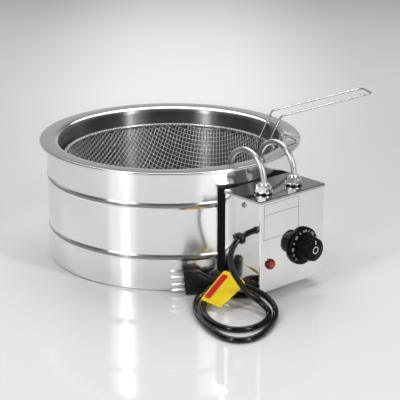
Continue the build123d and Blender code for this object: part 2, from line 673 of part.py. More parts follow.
# Grommet in the box's side, the cord's three cores and the cord itself
relief_out = -box_half - route[0].X - 2 * fit_gap
relief_line = Polyline(
    (0, -sheet - relief_inner_thick), (relief_neck_d / 2 + sheet, -sheet - relief_inner_thick),
    (relief_neck_d / 2 + sheet, -sheet), (relief_neck_d / 2, -sheet), (relief_neck_d / 2, 0),
    (relief_flange_d / 2, 0), (relief_tip_d / 2, relief_out), (0, relief_out), close=True)
pieces["strain_relief"] = relief_place * turned(make_face(relief_line))
core_x = -wall_in + relief_inner_thick
core_turn_x = core_x + core_reach
core_y, core_z = route[0].Y, route[0].Z
core_drop_y = wire_front - 1.75 * core_d
core_low_z = wire_z + 4 * core_d + core_spread
core_rows = [(step * (core_d + core_gap), x) for step, x in zip((1, 0, -1), block_xs)]
core_runs = [
    [(core_x, core_y, core_z + rise), (core_turn_x + rise, core_y, core_z + rise),
     (core_turn_x + rise, core_drop_y, core_z - core_fall), (x, core_drop_y, core_low_z + 2 * rise),
     (x, core_drop_y, wire_z), (x, wire_front, wire_z)]
    for rise, x in core_rows]
pieces["cord_cores"] = Compound([mitred_wire(run) for run in core_runs])

runs = [after - before for before, after in zip(route, route[1:])]
turns = [before.get_angle(after) for before, after in zip(runs, runs[1:])]
cord_bends = [
    cord_bend_share * min(before.length, after.length) / tan(radians(bend) / 2)
    for before, after, bend in zip(runs, runs[1:], turns)]
cord_path = FilletPolyline(*route, radius=cord_bends)
cord_face = RegularPolygon(cord_d / 2, cord_sides)
pieces["power_cord"] = sweep(Plane(origin=cord_path @ 0, z_dir=cord_path % 0) * cord_face, path=cord_path)
print("cord radii", [round(bend, 1) for bend in cord_bends])
print("cord length", round(cord_path.length, 1))
print("cord volume over section times length", round(
    pieces["power_cord"].volume / cord_face.area / cord_path.length, 4))
spots = [cord_path @ (step / 600) for step in range(601)]
apart = int(600 * 6 * cord_d / cord_path.length)
least = min((a - b).length for i, a in enumerate(spots) for b in spots[i + apart:])
print("cord least gap to itself", round(least - cord_d, 2))

# Collar clamped on the cord, with the lug of its lock
tie_share = tie_at / cord_path.length
tie_place = Plane(origin=cord_path @ tie_share, x_dir=(0, 1, 0), z_dir=cord_path % tie_share)
tie = chamfer(Cylinder(tie_d / 2, tie_wide).edges().filter_by(GeomType.CIRCLE), tie_edge)
tie += Pos(tie_d / 2, 0, 0) * Box(tie_head, tie_head, tie_wide - tie_edge)
tie -= Cylinder(cord_d / 2 + run_gap, 2 * tie_wide)
pieces["cord_tie"] = tie_place * tie

# Plug lying on its edge where the cord ends
plug_dir = (route[-1] - route[-2]).normalized()
plug_place = Plane(origin=route[-1], x_dir=(0, 0, 1), z_dir=plug_dir)
taper_end = plug_boot_long + plug_taper_long
boot = loft([
    plug_place * Circle(cord_d / 2 + boot_lap),
    plug_place * Pos(0, 0, plug_boot_long) * Circle(plug_neck_d / 2)])
grip = loft([
    plug_place * Pos(0, 0, plug_boot_long) * RectangleRounded(plug_neck_d, plug_neck_d, plug_neck_round),
    plug_place * Pos(0, 0, taper_end) * RectangleRounded(plug_tall, plug_thick, plug_round)])
head = extrude(
    plug_place * Pos(0, 0, taper_end) * RectangleRounded(plug_tall, plug_thick, plug_round),
    plug_long - taper_end, dir=plug_dir)
pieces["plug_body"] = boot + grip + head
pin_spots = [(-pin_reach, 0), (0, -pin_offset), (pin_reach, 0)]
pin = Pos(0, 0, pin_long / 2) * Cylinder(pin_d / 2, pin_long)
pin = chamfer(pin.edges().group_by(Axis.Z)[-1], pin_edge)
pieces["plug_pins"] = Compound([plug_place * Pos(x, y, plug_long) * pin for x, y in pin_spots])

# Paper tag strapped to the cord at the point nearest its corner
tilt = radians(tag_tilt)
tag_origin = Vector(tag_corner[0] - box_half, tag_corner[1] + box_front, tag_corner[2])
tag_place = Plane(origin=tag_origin, x_dir=(cos(tilt), 0, sin(tilt)), z_dir=(-sin(tilt), 0, cos(tilt)))
tag = tag_place * Pos(tag_long / 2, -tag_wide / 2, 0) * extrude(
    RectangleRounded(tag_long, tag_wide, tag_round), tag_thick)
strap_at = min(range(1, len(route) - 1), key=lambda step: (route[step] - tag_origin).length)
strap_dir = (route[strap_at + 1] - route[strap_at - 1]).normalized()
strap_r = cord_d / 2 + tag_strap_gap
strap = Cylinder(strap_r + tag_thick, tag_strap_wide) - Cylinder(strap_r, 2 * tag_strap_wide)
pieces["cord_tag"] = tag + Plane(origin=route[strap_at], z_dir=strap_dir) * strap

os.makedirs("parts", exist_ok=True)
for name, shape in pieces.items():
    export_step(shape, f"parts/{name}.step")
    print(name, len(shape.solids()), round(shape.volume))
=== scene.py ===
"""Looks of the electric deep fryer: smooth sheet metal, woven basket, cord, panel, floor and light.

Metres, in the frame of the CAD model. Sizes are written in millimetres and turned with mm.
"""

import json
from math import atan2, copysign, cos, hypot, pi, radians, sin, sqrt, tan

import bmesh
import bpy
from mathutils import Matrix, Vector


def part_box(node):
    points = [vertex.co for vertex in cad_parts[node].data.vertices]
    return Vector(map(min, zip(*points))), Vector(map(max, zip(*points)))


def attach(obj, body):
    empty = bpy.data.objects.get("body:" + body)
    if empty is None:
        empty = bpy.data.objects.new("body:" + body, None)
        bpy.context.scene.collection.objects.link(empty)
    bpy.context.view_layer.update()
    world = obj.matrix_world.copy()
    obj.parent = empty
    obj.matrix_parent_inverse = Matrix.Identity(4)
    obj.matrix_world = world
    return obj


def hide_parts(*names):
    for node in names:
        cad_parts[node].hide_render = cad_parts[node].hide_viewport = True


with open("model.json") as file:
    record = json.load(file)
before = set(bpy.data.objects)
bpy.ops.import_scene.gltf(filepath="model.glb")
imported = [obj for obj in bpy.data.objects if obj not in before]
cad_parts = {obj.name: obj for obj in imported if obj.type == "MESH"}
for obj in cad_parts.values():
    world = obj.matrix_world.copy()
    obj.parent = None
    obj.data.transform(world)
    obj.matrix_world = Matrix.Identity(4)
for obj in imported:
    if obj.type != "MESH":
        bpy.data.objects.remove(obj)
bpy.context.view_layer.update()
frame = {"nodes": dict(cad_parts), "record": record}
mm = 0.001

# Sizes shared with the CAD model
sheet = 1.0 * mm
bead_proud = 1.0 * mm
bead_tall = 9.0 * mm
bead_crest = 3.6 * mm
bead_round = 2.0 * mm
bead_heights = (49.0 * mm, 123.0 * mm)
drum_round = 3.0 * mm
drum_lap = 8.0 * mm
rim_lip = 3.6 * mm
rim_round = 1.6 * mm
rim_edge_round = 0.3 * mm
pot_r = 161.0 * mm
pot_shoulder_r = 9.0 * mm
pot_corner_r = 18.0 * mm
ring_wire = 3.5 * mm
basket_taper = radians(15.0)
basket_base_r = 20.0 * mm
basket_corner_r = 26.0 * mm
cord_d = 8.0 * mm
knob_skirt_proud = 5.2 * mm
knob_proud = 26.5 * mm
plug_boot_long = 10.0 * mm
plug_neck_d = 12.0 * mm
tag_long = 53.0 * mm
tag_wide = 42.0 * mm
tag_thick = 0.6 * mm
tag_round = 4.0 * mm
tag_tilt = radians(35.0)
tag_strap_wide = 9.0 * mm
tag_strap_gap = 0.9 * mm

# Places read from the frame
drum_low, drum_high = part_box("outer_drum")
pot_low, pot_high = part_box("fryer_pot")
box_low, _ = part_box("control_box_body")
ring_low, ring_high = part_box("basket_rim_ring")
bowl_low, bowl_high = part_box("basket_bowl")
knob_low, knob_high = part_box("control_knob")
drum_r = drum_high.x - bead_proud
rim_r = pot_high.x
rim_top = pot_high.z
pot_floor = pot_low.z + sheet
ring_r = ring_high.x - ring_wire / 2
ring_z = (ring_low.z + ring_high.z) / 2
ring_flat_y = ring_low.y + ring_wire / 2
panel_y = box_low.y


# Materials
noise_span = (0.3, 0.7)


def ramp_over(tree, value, low, high, first, last, kind="SMOOTHSTEP"):
    """A step between two values of a number."""
    step = tree.nodes.new("ShaderNodeMapRange")
    step.interpolation_type = kind
    step.inputs["From Min"].default_value = low
    step.inputs["From Max"].default_value = high
    step.inputs["To Min"].default_value = first
    step.inputs["To Max"].default_value = last
    tree.links.new(value, step.inputs["Value"])
    return step.outputs["Result"]


def tones_over(tree, value, span, tones):
    """Colours from one tone to another over a span of a number."""
    ramp = tree.nodes.new("ShaderNodeValToRGB")
    for stop, position, tone in zip(ramp.color_ramp.elements, span, tones):
        stop.position = position
        stop.color = (*tone, 1)
    tree.links.new(value, ramp.inputs["Fac"])
    return ramp.outputs["Color"]


def combine(tree, operation, first, second):
    """One sum or product of two numbers, either of them a link."""
    node = tree.nodes.new("ShaderNodeMath")
    node.operation = operation
    for socket, value in zip(node.inputs, (first, second)):
        if isinstance(value, float):
            socket.default_value = value
        else:
            tree.links.new(value, socket)
    return node.outputs["Value"]


def vector_step(tree, operation, source, constant, result="Vector"):
    """One step of arithmetic on a vector, with a constant as its second term."""
    node = tree.nodes.new("ShaderNodeVectorMath")
    node.operation = operation
    node.inputs[1].default_value = constant
    tree.links.new(source, node.inputs[0])
    return node.outputs[result]


def length_of(tree, source):
    """The length of a vector."""
    return vector_step(tree, "LENGTH", source, (0, 0, 0), "Value")


def new_material(name, color, metallic=0.0, roughness=0.4, sheen=0.5):
    """A principled material with a plain colour and a strength of reflection."""
    material = bpy.data.materials.new(name)
    material.use_nodes = True
    shader = material.node_tree.nodes["Principled BSDF"]
    shader.inputs["Base Color"].default_value = (*color, 1)
    shader.inputs["Metallic"].default_value = metallic
    shader.inputs["Roughness"].default_value = roughness
    shader.inputs["Specular IOR Level"].default_value = sheen
    return material


def add_grain(material, size, stretch=(1, 1, 1), rough=None, tones=None, bump=0.0, depth=0.0):
    """Noise of a real size that drives roughness, colour and bump."""
    tree = material.node_tree
    shader = tree.nodes["Principled BSDF"]
    place = tree.nodes.new("ShaderNodeTexCoord")
    scale = tree.nodes.new("ShaderNodeMapping")
    scale.inputs["Scale"].default_value = [share / size for share in stretch]
    noise = tree.nodes.new("ShaderNodeTexNoise")
    noise.inputs["Scale"].default_value = 1.0
    noise.inputs["Detail"].default_value = 4.0
    tree.links.new(place.outputs["Object"], scale.inputs["Vector"])
    tree.links.new(scale.outputs["Vector"], noise.inputs["Vector"])
    grain = noise.outputs["Fac"]
    if rough:
        level = ramp_over(tree, grain, *noise_span, *rough, kind="LINEAR")
        tree.links.new(level, shader.inputs["Roughness"])
    if tones:
        tree.links.new(tones_over(tree, grain, noise_span, tones), shader.inputs["Base Color"])
    if bump:
        relief = tree.nodes.new("ShaderNodeBump")
        relief.inputs["Strength"].default_value = bump
        relief.inputs["Distance"].default_value = depth
        tree.links.new(grain, relief.inputs["Height"])
        tree.links.new(relief.outputs["Normal"], shader.inputs["Normal"])
    return material


def spin(material):
    """Fine turned grain round the Z axis."""
    tree = material.node_tree
    shader = tree.nodes["Principled BSDF"]
    shader.inputs["Anisotropic"].default_value = 1.0
    shader.inputs["Anisotropic Rotation"].default_value = 0.25
    around = tree.nodes.new("ShaderNodeTangent")
    around.direction_type = "RADIAL"
    around.axis = "Z"
    tree.links.new(around.outputs["Tangent"], shader.inputs["Tangent"])
    return material


polished = add_grain(
    new_material("polished_steel", (0.87, 0.865, 0.85), 1.0), 40 * mm, (1, 1, 0.15), rough=(0.04, 0.08),
    tones=((0.85, 0.845, 0.83), (0.90, 0.895, 0.885)))
# Darker copy of the polished steel for the box's lid: painted shade on the top.
lid_painted_shade_steel = add_grain(
    new_material("lid_painted_shade_steel", (0.46, 0.457, 0.45), 1.0), 40 * mm, (1, 1, 0.15), rough=(0.05, 0.09),
    tones=((0.43, 0.427, 0.42), (0.49, 0.487, 0.48)))
# Darker copy of the drum's steel for the bead crests: painted shade and painted dark reflection.
bead_painted_shade = add_grain(
    new_material("bead_painted_shade", (0.3, 0.297, 0.29), 1.0), 60 * mm, (1, 1, 0.2), rough=(0.15, 0.19),
    tones=((0.27, 0.267, 0.26), (0.33, 0.327, 0.32)))
rolled = add_grain(
    new_material("rolled_steel", (0.89, 0.885, 0.875), 1.0), 60 * mm, (1, 1, 0.2), rough=(0.15, 0.19),
    tones=((0.88, 0.875, 0.865), (0.91, 0.905, 0.895)))
rim_steel = add_grain(
    new_material("rim_steel", (0.76, 0.755, 0.74), 1.0), 60 * mm, rough=(0.09, 0.13),
    tones=((0.74, 0.735, 0.72), (0.78, 0.775, 0.76)))
# Dark spun steel for the pot's inner wall: real turned grain, with painted shade in its dark tone.
spun_and_shaded = spin(add_grain(
    new_material("spun_painted_shade_steel", (0.24, 0.237, 0.23), 1.0), 30 * mm, (1, 1, 0.3), rough=(0.32, 0.36),
    tones=((0.21, 0.207, 0.2), (0.27, 0.267, 0.26))))
drawn_wire = add_grain(
    new_material("wire_steel", (0.80, 0.795, 0.78), 1.0), 6 * mm, rough=(0.2, 0.3),
    tones=((0.74, 0.735, 0.72), (0.86, 0.855, 0.845)))
handle_wire = add_grain(
    new_material("handle_wire", (0.36, 0.357, 0.35), 1.0), 6 * mm, rough=(0.24, 0.32),
    tones=((0.32, 0.317, 0.31), (0.40, 0.397, 0.39)))
woven_wire = add_grain(
    new_material("woven_wire", (0.74, 0.735, 0.72), 1.0), 6 * mm, rough=(0.36, 0.44),
    tones=((0.70, 0.695, 0.68), (0.78, 0.775, 0.76)))
heater = add_grain(
    new_material("element_tube", (0.64, 0.63, 0.61), 1.0), 12 * mm, rough=(0.26, 0.36),
    tones=((0.58, 0.57, 0.55), (0.70, 0.695, 0.68)))
plated = add_grain(
    new_material("fitting_steel", (0.84, 0.835, 0.82), 1.0), 5 * mm, rough=(0.24, 0.34),
    tones=((0.78, 0.775, 0.76), (0.88, 0.875, 0.86)))
mill = add_grain(
    new_material("base_steel", (0.62, 0.63, 0.63), 1.0), 8 * mm, (1, 0.1, 1), rough=(0.3, 0.45),
    tones=((0.56, 0.57, 0.57), (0.66, 0.67, 0.67)))
rubber = add_grain(
    new_material("black_rubber", (0.004, 0.004, 0.004), sheen=0.4), 1.5 * mm, rough=(0.12, 0.2),
    tones=((0.003, 0.003, 0.003), (0.006, 0.006, 0.006)), bump=0.05, depth=0.05 * mm)
moulded = add_grain(
    new_material("black_plastic", (0.006, 0.006, 0.006), sheen=0.35), 0.8 * mm, rough=(0.34, 0.46),
    tones=((0.005, 0.005, 0.006), (0.008, 0.008, 0.009)), bump=0.2, depth=0.1 * mm)
knob_plastic = add_grain(
    new_material("knob_plastic", (0.003, 0.003, 0.003), sheen=0.1), 0.8 * mm, rough=(0.3, 0.42),
    tones=((0.002, 0.002, 0.002), (0.004, 0.004, 0.004)), bump=0.2, depth=0.1 * mm)
gasket = add_grain(
    new_material("matt_gasket", (0.006, 0.006, 0.006), sheen=0.1), 2 * mm, rough=(0.7, 0.85),
    tones=((0.004, 0.004, 0.004), (0.008, 0.008, 0.008)), bump=0.3, depth=0.2 * mm)
dial_paint = add_grain(
    new_material("dial_paint", (0.80, 0.80, 0.78)), 0.5 * mm, rough=(0.45, 0.6),
    tones=((0.74, 0.74, 0.72), (0.84, 0.84, 0.82)))
print_ink = add_grain(
    new_material("print_ink", (0.10, 0.10, 0.10)), 0.6 * mm, rough=(0.4, 0.55),
    tones=((0.07, 0.07, 0.07), (0.16, 0.16, 0.16)))
band_ink = add_grain(
    new_material("band_ink", (0.62, 0.012, 0.014), sheen=0.25), 3 * mm, rough=(0.4, 0.5),
    tones=((0.56, 0.008, 0.010), (0.66, 0.016, 0.018)))
resin = add_grain(
    new_material("thermostat_case", (0.55, 0.50, 0.40)), 2 * mm, rough=(0.4, 0.55),
    tones=((0.50, 0.45, 0.35), (0.60, 0.55, 0.45)))
copper = add_grain(
    new_material("sensor_copper", (0.72, 0.42, 0.28), 1.0), 4 * mm, rough=(0.2, 0.35),
    tones=((0.62, 0.34, 0.22), (0.76, 0.46, 0.32)))
lens = add_grain(new_material("red_lens", (0.4, 0.008, 0.012)), 3 * mm, rough=(0.05, 0.09))
lamp_case = add_grain(new_material("lamp_case", (0.05, 0.05, 0.05)), 2 * mm, rough=(0.4, 0.5))
ceramic = add_grain(
    new_material("block_ceramic", (0.85, 0.83, 0.78)), 1 * mm, rough=(0.35, 0.5),
    tones=((0.80, 0.78, 0.73), (0.88, 0.86, 0.81)))
silicone = add_grain(new_material("wire_cover", (0.45, 0.10, 0.08)), 2 * mm, rough=(0.4, 0.5))
nickel = add_grain(
    new_material("pin_brass", (0.86, 0.845, 0.80), 1.0), 1.5 * mm, rough=(0.28, 0.36),
    tones=((0.82, 0.805, 0.76), (0.90, 0.885, 0.84)))
paper = add_grain(
    new_material("tag_paper", (0.88, 0.63, 0.0), sheen=0.3), 4 * mm, rough=(0.35, 0.48),
    tones=((0.86, 0.60, 0.0), (0.90, 0.66, 0.005)))


def paint_edge_shade(material, node, bright, dark):
    """Painted shade: colour that falls off from the middle of a round node's front to its edge."""
    tree = material.node_tree
    low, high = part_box(node)
    place = tree.nodes.new("ShaderNodeTexCoord")
    gap = vector_step(tree, "SUBTRACT", place.outputs["Object"], (low + high) / 2)
    flat = vector_step(tree, "MULTIPLY", gap, (1, 0, 1))
    share = ramp_over(tree, length_of(tree, flat), 0.0, (high.x - low.x) / 2, 0.0, 1.0, kind="LINEAR")
    color = tones_over(tree, share, (0.25, 0.85), (bright, dark))
    tree.links.new(color, tree.nodes["Principled BSDF"].inputs["Base Color"])


# Painted shade toward the pilot lens's rim.
paint_edge_shade(lens, "pilot_lens", (0.5, 0.012, 0.016), (0.1, 0.002, 0.004))
finishes = {
    "polished_steel": polished, "base_steel": mill, "wire_steel": drawn_wire, "element_tube": heater,
    "fitting_steel": plated, "black_rubber": rubber, "black_plastic": moulded, "thermostat_case": resin,
    "sensor_copper": copper, "red_lens": lens, "lamp_case": lamp_case, "block_ceramic": ceramic,
    "wire_cover": silicone, "pin_brass": nickel, "tag_paper": paper}
for part in frame["record"]["subparts"]:
    node = frame["nodes"][part["node"]]
    node.data.materials.clear()
    node.data.materials.append(finishes[part["material_slot"]])
own_finishes = {
    "mounting_spacer": gasket, "control_box_lid": lid_painted_shade_steel, "control_knob": knob_plastic,
    "basket_handle": handle_wire, "basket_hook": handle_wire, "lid_screws": handle_wire}
for name, finish in own_finishes.items():
    frame["nodes"][name].data.materials[0] = finish


weld_gap = 0.002 * mm
round_fold = 50
sheet_fold = 28


def smooth_group(angle):
    """Geometry nodes that join a CAD mesh's faces and shade them smooth up to an angle."""
    group = bpy.data.node_groups.new(f"smooth_below_{angle}", "GeometryNodeTree")
    group.interface.new_socket("Geometry", in_out="INPUT", socket_type="NodeSocketGeometry")
    group.interface.new_socket("Geometry", in_out="OUTPUT", socket_type="NodeSocketGeometry")
    nodes, links = group.nodes, group.links
    source = nodes.new("NodeGroupInput")
    merge = nodes.new("GeometryNodeMergeByDistance")
    merge.inputs["Distance"].default_value = weld_gap
    plain = nodes.new("GeometryNodeRemoveAttribute")
    plain.inputs["Name"].default_value = "custom_normal"
    faces = nodes.new("GeometryNodeSetShadeSmooth")
    edges = nodes.new("GeometryNodeSetShadeSmooth")
    edges.domain = "EDGE"
    edges.inputs["Shade Smooth"].default_value = False
    fold = nodes.new("GeometryNodeInputMeshEdgeAngle")
    sharp = nodes.new("FunctionNodeCompare")
    sharp.inputs["B"].default_value = radians(angle)
    result = nodes.new("NodeGroupOutput")
    links.new(fold.outputs["Unsigned Angle"], sharp.inputs["A"])
    links.new(sharp.outputs["Result"], edges.inputs["Selection"])
    chain = [source, merge, plain, faces, edges, result]
    for before, after in zip(chain, chain[1:]):
        links.new(before.outputs["Geometry"], after.inputs["Geometry"])
    return group


round_pieces = (
    "heating_element", "basket_rim_ring", "basket_handle", "basket_hook", "plug_body", "plug_pins",
    "pilot_lens", "cord_tie", "strain_relief", "element_bushings", "element_washers", "element_seals",
    "control_knob", "lid_screws")
folded_pieces = ("control_box_body", "control_box_lid", "element_nuts")
for names, angle in ((round_pieces, round_fold), (folded_pieces, sheet_fold)):
    smooth_nodes = smooth_group(angle)
    for name in names:
        frame["nodes"][name].modifiers.new("smooth", "NODES").node_group = smooth_nodes


# Shapes
sharp_fold = radians(35)
print_proud = 0.06 * mm
print_thick = 0.1 * mm


def rounded(points, radii, steps=10):
    """A polyline whose inner corners are arcs of the given radii."""
    points = [Vector(point) for point in points]
    line = [points[0]]
    for before, corner, after, radius in zip(points, points[1:], points[2:], radii):
        back = (before - corner).normalized()
        ahead = (after - corner).normalized()
        half = back.angle(ahead) / 2
        centre = corner + (back + ahead).normalized() * radius / sin(half)
        start = corner + back * radius / tan(half) - centre
        end = corner + ahead * radius / tan(half) - centre
        sweep = start.angle(end)
        for step in range(steps + 1):
            turn = sweep * step / steps
            line.append(centre + (start * sin(sweep - turn) + end * sin(turn)) / sin(sweep))
    return line + [points[-1]]


def shade(mesh):
    """Smooth faces with sharp edges where the surface folds."""
    form = bmesh.new()
    form.from_mesh(mesh)
    bmesh.ops.recalc_face_normals(form, faces=form.faces)
    for face in form.faces:
        face.smooth = True
    for edge in form.edges:
        edge.smooth = len(edge.link_faces) == 2 and edge.calc_face_angle() < sharp_fold
    form.to_mesh(mesh)
    form.free()


def add_piece(name, data, material, body, slot, *replaced):
    """Puts a new piece on a body in place of CAD nodes."""
    piece = bpy.data.objects.new(name, data)
    bpy.context.scene.collection.objects.link(piece)
    data.materials.append(material)
    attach(piece, body)
    if replaced:
        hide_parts(*replaced)
    return piece


def add_mesh(name, points, faces, material, body, slot, *replaced):
    """A piece from points and faces."""
    mesh = bpy.data.meshes.new(name)
    mesh.from_pydata(points, [], faces)
    shade(mesh)
    return add_piece(name, mesh, material, body, slot, *replaced)


def lathe(name, outline, material, body, slot, *replaced, segments=256):
    """A closed (radius, height) outline turned about the Z axis."""
    count = len(outline)
    points = [
        (r * cos(2 * pi * turn / segments), r * sin(2 * pi * turn / segments), z)
        for turn in range(segments) for r, z in outline]
    faces = [
        (turn * count + spot, turn * count + (spot + 1) % count,
         (turn + 1) % segments * count + (spot + 1) % count, (turn + 1) % segments * count + spot)
        for turn in range(segments) for spot in range(count)]
    return add_mesh(name, points, faces, material, body, slot, *replaced)


def new_curve(name, d, lines, sides, cyclic=False):
    """Round wires of one thickness along lines of points."""
    curve = bpy.data.curves.new(name, "CURVE")
    curve.dimensions = "3D"
    curve.bevel_depth = d / 2
    curve.bevel_resolution = sides
    curve.use_fill_caps = True
    for line in lines:
        spline = curve.splines.new("POLY")
        spline.points.add(len(line) - 1)
        for spot, point in zip(spline.points, line):
            spot.co = (*point, 1)
        spline.use_cyclic_u = cyclic
        spline.use_smooth = True
    return curve


def ring_point(middle, ahead, r, turn):
    """A point on a ring round a direction."""
    side = ahead.orthogonal().normalized()
    return middle + r * (side * cos(turn) + ahead.cross(side) * sin(turn))


def two_finishes(piece, second, has_second):
    """A second finish on the faces whose distance from the axis passes a test."""
    piece.data.materials.append(second)
    for face in piece.data.polygons:
        face.material_index = int(has_second(hypot(*face.center.xy)))


# Drum: rolled sheet with two beads, with painted shade along their crests
painted_shade_from = drum_r + 0.6 * bead_proud


def bead(z):
    """The corners of one bead, from its lower to its upper edge."""
    crest = drum_r + bead_proud
    return [
        (drum_r, z - bead_tall / 2), (crest, z - bead_crest / 2),
        (crest, z + bead_crest / 2), (drum_r, z + bead_tall / 2)]


def build_drum():
    """The outer wall, open at foot and top."""
    beads = [corner for z in bead_heights for corner in bead(z)]
    corners = [(drum_r - drum_lap, drum_low.z), (drum_r, drum_low.z), *beads, (drum_r, drum_high.z)]
    outside = rounded(corners, [drum_round] + len(beads) * [bead_round])
    wall = [(point.x, point.y) for point in outside]
    inner_r, inner_z = drum_r - sheet, drum_low.z + sheet
    wall += [(inner_r, drum_high.z), (inner_r, inner_z), (drum_r - drum_lap, inner_z)]
    drum = lathe("drum_wall", wall, rolled, "base", "polished_steel", "outer_drum")
    # Faces out past the bead's flank take the darker steel: painted shade on the crests.
    two_finishes(drum, bead_painted_shade, lambda r: r > painted_shade_from)


# Pot: spun shell with a wide rim and painted shade on its inner wall
spun_shade_within = pot_r + 0.25 * pot_shoulder_r
axis_gap = 0.1 * mm
seam_gap = 0.1 * mm


def build_pot():
    """The shell's inner and outer face."""
    outer_r, under_rim, lip_r = pot_r + sheet, rim_top - sheet, rim_r - sheet
    lip_low = rim_top - rim_lip
    inside = rounded(
        [(lip_r, lip_low), (rim_r, lip_low), (rim_r, rim_top), (pot_r, rim_top), (pot_r, pot_floor),
         (axis_gap, pot_floor)], [rim_edge_round, rim_round, pot_shoulder_r, pot_corner_r])
    outside = rounded(
        [(axis_gap, pot_floor - sheet), (outer_r, pot_floor - sheet), (outer_r, under_rim),
         (lip_r, under_rim), (lip_r, lip_low + seam_gap)],
        [pot_corner_r + sheet, pot_shoulder_r - sheet, rim_round / 3])
    outline = [(point.x, point.y) for point in inside + outside]
    pot = lathe("pot_shell", outline, rim_steel, "base", "polished_steel", "fryer_pot")
    # Faces inside the shoulder take the dark spun steel: painted shade inside the pot.
    two_finishes(pot, spun_and_shaded, lambda r: r < spun_shade_within)


# Basket: woven wire pressed into a bowl with one flat side
mesh_pitch = 6.5 * mm
mesh_wire = 1.0 * mm
mesh_turn = radians(29.0)
mesh_reach = 1.6
wrap_pitch = 4.4 * mm
wrap_steps = 8
bowl_top = bowl_high.z
bowl_floor = bowl_low.z + mesh_wire
corner_y = ring_flat_y + basket_corner_r
corner_x = sqrt((ring_r - basket_corner_r) ** 2 - corner_y ** 2)


def rim_reach(turn):
    """Distance from the axis to the basket's ring at a turn from +X."""
    away = Vector((cos(turn), sin(turn)))
    corner = Vector((copysign(corner_x, away.x), corner_y))
    if away.y > corner.normalized().y:
        return ring_r
    if abs(away.x / away.y * ring_flat_y) < corner_x:
        return ring_flat_y / away.y
    along = away.dot(corner)
    return along + sqrt(along ** 2 - corner.length_squared + basket_corner_r ** 2)


def bowl_point(u, v, lift):
    """Where a point of the flat mesh sheet comes to lie in the bowl, or None past its edge."""
    far = hypot(u, v)
    turn = atan2(v, u) + mesh_turn
    top_r = rim_reach(turn)
    floor_r = top_r - (bowl_top - bowl_floor) * tan(basket_taper)
    bend = pi / 2 - basket_taper
    flat_r = floor_r - basket_base_r * tan(bend / 2)
    bent = basket_base_r * bend
    if far <= flat_r:
        r, z, slope = far, bowl_floor, 0
    elif far <= flat_r + bent:
        slope = (far - flat_r) / basket_base_r
        r = flat_r + basket_base_r * sin(slope)
        z = bowl_floor + basket_base_r * (1 - cos(slope))
    else:
        slope = bend
        rest = far - flat_r - bent
        r = flat_r + basket_base_r * sin(bend) + rest * cos(bend)
        z = bowl_floor + basket_base_r * (1 - cos(bend)) + rest * sin(bend)
    if z > bowl_top:
        return None
    r -= lift * sin(slope)
    return Vector((r * cos(turn), r * sin(turn), z + lift * cos(slope)))


def ring_wrap():
    """The mesh's edge wound round the ring."""
    count = int(2 * pi * ring_r / wrap_pitch)
    coil_r = (ring_wire + mesh_wire) / 2
    line = []
    for step in range(count * wrap_steps):
        turn = 2 * pi * step / (count * wrap_steps)
        wind = 2 * pi * step / wrap_steps
        r = rim_reach(turn) + coil_r * cos(wind)
        line.append((r * cos(turn), r * sin(turn), ring_z + coil_r * sin(wind)))
    return line


def build_mesh():
    """Wires both ways, over and under each other in turn."""
    reach = int(mesh_reach * ring_r / mesh_pitch)
    steps = range(-reach, reach + 1)
    lines = []
    for way in (0, 1):
        for row in steps:
            line = []
            for step in steps:
                lift = mesh_wire / 2 * (1 if (row + step + way) % 2 else -1)
                u, v = (step, row) if way else (row, step)
                point = bowl_point((u + 0.5) * mesh_pitch, (v + 0.5) * mesh_pitch, lift)
                if point:
                    line.append(point)
            if len(line) > 1:
                lines.append(line)
    curve = new_curve("mesh_wires", mesh_wire, lines, 1)
    add_piece("mesh_wires", curve, woven_wire, "basket", "wire_steel", "basket_bowl")
    wrap = new_curve("mesh_edge", mesh_wire, [ring_wrap()], 1, cyclic=True)
    add_piece("mesh_edge", wrap, woven_wire, "basket", "wire_steel")


build_drum()
build_pot()
build_mesh()

# Mains cord, along the same points as its CAD solid
lie_z = 4.05
tag_z = 5.55
cord_lay = [
    (-2, 8, 105), (-14.5, 8, 104.6), (-27, 8, 101.5), (-38, 8, 95.7), (-45.3, 7.7, 86.2), (-47.5, 7, 73.6),
    (-45, 5.5, 60.5), (-38.5, 3, 47.2), (-30.8, -1, 34), (-23.5, -7, 23.5), (-17.5, -15, 16.5),
    (-14.5, -24, 11.5), (-16, -34, 7.6), (-23, -42.5, 5.2), (-34, -49.5, lie_z), (-47, -54.3, lie_z),
    (-60.5, -56, lie_z), (-73.9, -54, lie_z), (-85, -47, lie_z), (-92, -35.5, lie_z), (-94, -19, lie_z),
    (-90.7, -0.5, lie_z), (-82.7, 17.5, lie_z), (-71.5, 33.5, 4.8), (-57.5, 45.5, tag_z), (-41.5, 52, 4.8),
    (-25.5, 52.7, lie_z), (-12, 47, lie_z), (-2, 37.5, lie_z), (7.5, 27, lie_z), (19.5, 21, lie_z),
    (32.5, 23.5, lie_z), (41, 33.5, lie_z), (42, 46.5, lie_z), (35.5, 58, lie_z), (23.5, 64, lie_z),
    (9, 65, lie_z), (-5.5, 64.5, 4.4), (-20, 64, 6), (-34.5, 64.8, 8), (-48.5, 64.2, 8.3), (-61.5, 58, 6.3),
    (-73.5, 47, 4.5), (-84.7, 32.5, lie_z), (-94.7, 15, lie_z), (-103.7, -5.5, lie_z), (-110.2, -26.7, lie_z),
    (-113.8, -46, lie_z), (-112.5, -62, lie_z), (-105, -74, lie_z), (-91.5, -80, lie_z), (-73, -78.8, lie_z),
    (-51.8, -70.5, lie_z), (-30, -58.5, lie_z), (-14.5, -47, 6.5), (-5.5, -35, 11.5), (-3.5, -21, 17.5),
    (-5, -6.5, 22), (-5.5, 8.5, 24.3), (-5, 25, 24), (-4.7, 41, 23), (-4.8, 52, 22), (-8.7, 61.7, 21),
    (-15.6, 67.8, 20.24),
]
cord_foot = Vector((box_low.x, box_low.y, 0))
cord_route = [cord_foot + Vector(point) * mm for point in cord_lay]


